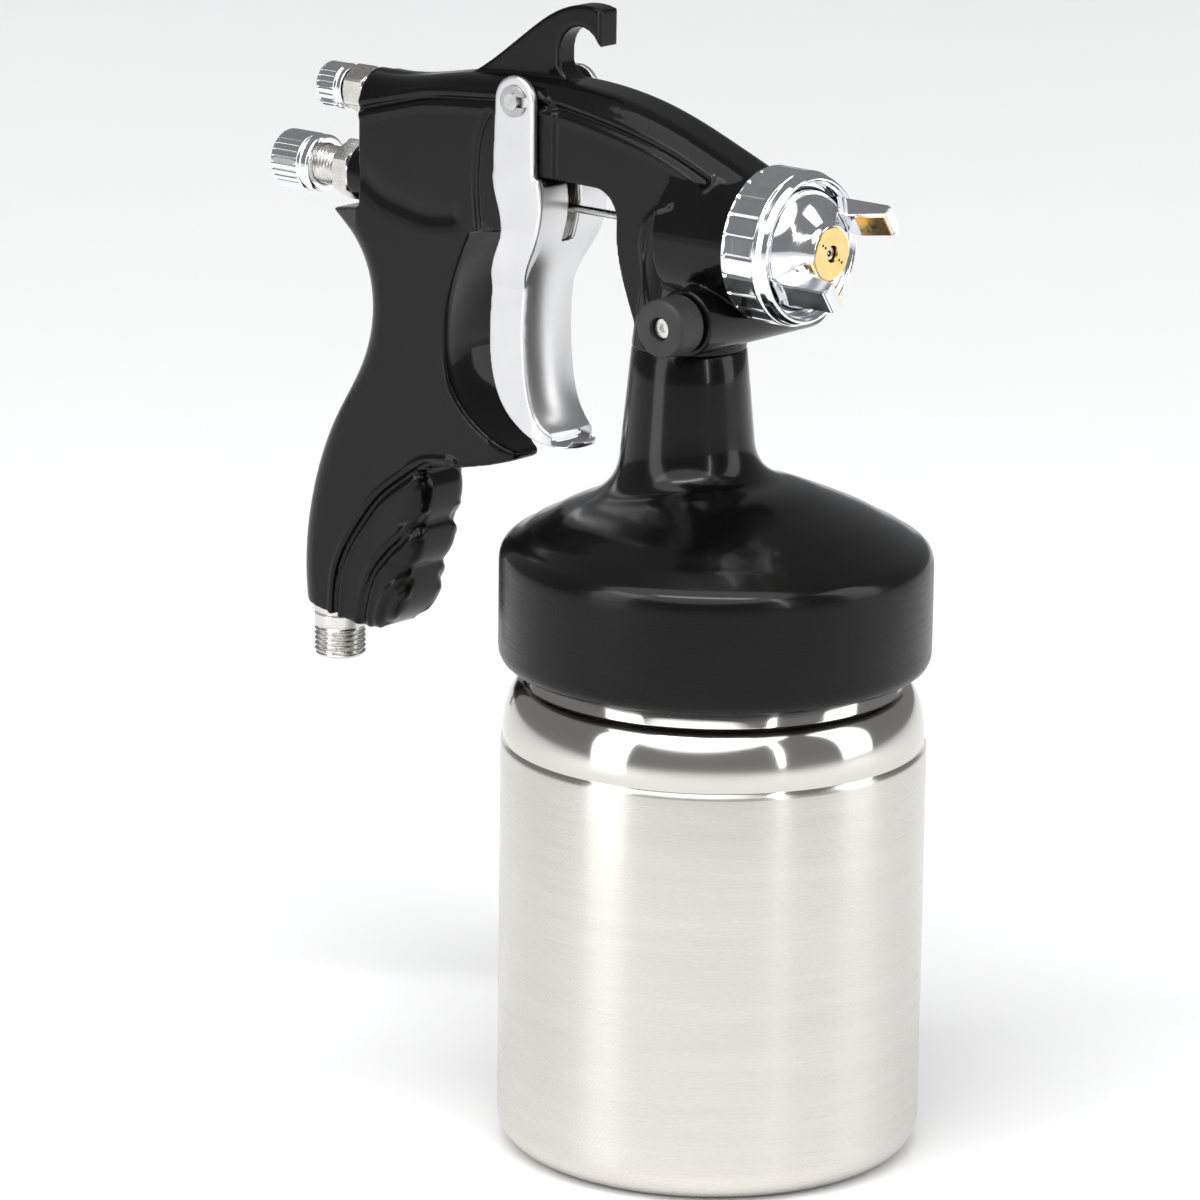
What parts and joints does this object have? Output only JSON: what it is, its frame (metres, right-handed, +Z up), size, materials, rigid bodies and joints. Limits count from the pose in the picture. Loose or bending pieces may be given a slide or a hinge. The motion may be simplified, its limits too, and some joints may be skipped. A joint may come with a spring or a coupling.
{
  "type": "spray gun with cup",
  "caption": "Hand-held suction-feed spray gun: black cast body with hanging hook, two-arm trigger, horned air cap and a screw-on aluminium paint cup.",
  "frame": {"origin": "centre of the cup's base, where the gun stands", "axes": "+X the way the gun sprays, +Y the gun's left side, +Z up"},
  "size_m": [0.1941, 0.1056, 0.2784],
  "materials": {
    "black_casting": "semi-gloss black paint on die-cast aluminium",
    "black_cover": "semi-gloss black paint on die-cast aluminium, brushed skirt",
    "cup_aluminium": "brushed wall with a polished shoulder",
    "polished_trigger": "polished casting",
    "chrome_parts": "bright plating",
    "nickel_fitting": "satin nickel plating",
    "steel_parts": "turned stainless steel",
    "spring_wire": "drawn wire",
    "brass_parts": "turned brass",
    "seal_rubber": "moulded rubber",
    "knob_rubber": "matte moulded rubber"
  },
  "bodies": {
    "gun": {"gun_body": "black_casting", "air_inlet_fitting": "nickel_fitting", "air_valve_seat": "brass_parts", "air_valve_packing": "seal_rubber", "air_valve_packing_nut": "brass_parts", "trigger_pivot_pin": "steel_parts", "pivot_retaining_clip": "spring_wire", "needle_packing": "seal_rubber", "needle_packing_nut": "brass_parts", "fluid_control_housing": "nickel_fitting", "fan_valve_body": "nickel_fitting", "air_distributor": "brass_parts", "fluid_nozzle": "steel_parts", "housing_end_plug": "nickel_fitting", "cup_cover": "black_cover", "neck_seal": "seal_rubber", "siphon_connector": "brass_parts", "siphon_tube": "steel_parts"},
    "trigger": {"trigger": "polished_trigger"},
    "air_valve": {"air_valve_stem": "brass_parts", "air_valve_seal": "seal_rubber", "air_valve_spring": "spring_wire"},
    "needle": {"fluid_needle": "steel_parts", "needle_collar": "brass_parts", "needle_spring": "spring_wire"},
    "needle_stop": {"needle_stop": "brass_parts"},
    "fluid_knob": {"fluid_control_knob": "chrome_parts"},
    "fan_seal": {"fan_stem_seal": "seal_rubber"},
    "fan_valve": {"fan_valve_stem": "steel_parts", "fan_control_knob": "chrome_parts"},
    "ring_clip": {"ring_clip": "spring_wire"},
    "retaining_ring": {"retaining_ring": "chrome_parts"},
    "air_cap": {"air_cap": "chrome_parts", "air_cap_insert": "brass_parts"},
    "changeover": {"changeover_knob": "knob_rubber", "knob_screw": "steel_parts", "changeover_spindle": "brass_parts", "spindle_seals": "seal_rubber"},
    "cup_gasket": {"cup_gasket": "seal_rubber"},
    "cup": {"cup": "cup_aluminium"}
  },
  "joints": [
    {"name": "trigger_pull", "type": "hinge", "parent": "gun", "child": "trigger", "pos_m": [-0.0552, 0, 0.2545], "axis": [0, 1, 0], "range_deg": [0, 12], "stiffness_Nm_per_rad": 0.6, "springref_deg": -11.46},
    {"name": "air_valve_slide", "type": "slide", "parent": "gun", "child": "air_valve", "axis": [-1, 0, 0], "range_m": [0, 0.0058], "deforming": ["air_valve_spring"]},
    {"name": "needle_slide", "type": "slide", "parent": "gun", "child": "needle", "axis": [-1, 0, 0], "range_m": [0, 0.0045], "deforming": ["needle_spring"]},
    {"name": "fluid_knob_travel", "type": "slide", "parent": "gun", "child": "needle_stop", "axis": [-1, 0, 0], "range_m": [0, 0.0029]},
    {"name": "fluid_knob_turn", "type": "hinge", "parent": "needle_stop", "child": "fluid_knob", "pos_m": [-0.134, 0, 0.2276], "axis": [-1, 0, 0], "range_deg": [0, 1080]},
    {"name": "fan_knob_travel", "type": "slide", "parent": "gun", "child": "fan_seal", "axis": [-1, 0, 0], "range_m": [0, 0.0029]},
    {"name": "fan_knob_turn", "type": "hinge", "parent": "fan_seal", "child": "fan_valve", "pos_m": [-0.1228, 0, 0.2483], "axis": [-1, 0, 0], "range_deg": [0, 1080]},
    {"name": "ring_travel", "type": "slide", "parent": "gun", "child": "ring_clip", "axis": [1, 0, 0], "range_m": [0, 0.0029]},
    {"name": "ring_turn", "type": "hinge", "parent": "ring_clip", "child": "retaining_ring", "pos_m": [0.02, 0, 0.2276], "axis": [1, 0, 0], "range_deg": [0, 720]},
    {"name": "air_cap_turn", "type": "hinge", "parent": "ring_clip", "child": "air_cap", "pos_m": [0.025, 0, 0.2276], "axis": [1, 0, 0], "range_deg": [-90, 90]},
    {"name": "changeover_turn", "type": "hinge", "parent": "gun", "child": "changeover", "pos_m": [0.0045, -0.0244, 0.2096], "axis": [0, -1, 0], "range_deg": [0, 90]},
    {"name": "cover_turn", "type": "hinge", "parent": "cup", "child": "cup_gasket", "pos_m": [0, 0, 0.13], "axis": [0, 0, 1], "range_deg": [0, 360]},
    {"name": "gun_lift", "type": "slide", "parent": "cup_gasket", "child": "gun", "axis": [0, 0, 1], "range_m": [0, 0.16]}
  ],
  "couplings": [
    {"joint": "air_valve_slide", "follows": "trigger_pull", "m_per_rad": 0.0269},
    {"joint": "needle_slide", "follows": "trigger_pull", "m_per_rad": 0.0205},
    {"joint": "fluid_knob_turn", "follows": "fluid_knob_travel", "rad_per_m": 6283.2},
    {"joint": "fan_knob_turn", "follows": "fan_knob_travel", "rad_per_m": 6283.2},
    {"joint": "ring_turn", "follows": "ring_travel", "rad_per_m": 4188.8}
  ]
}
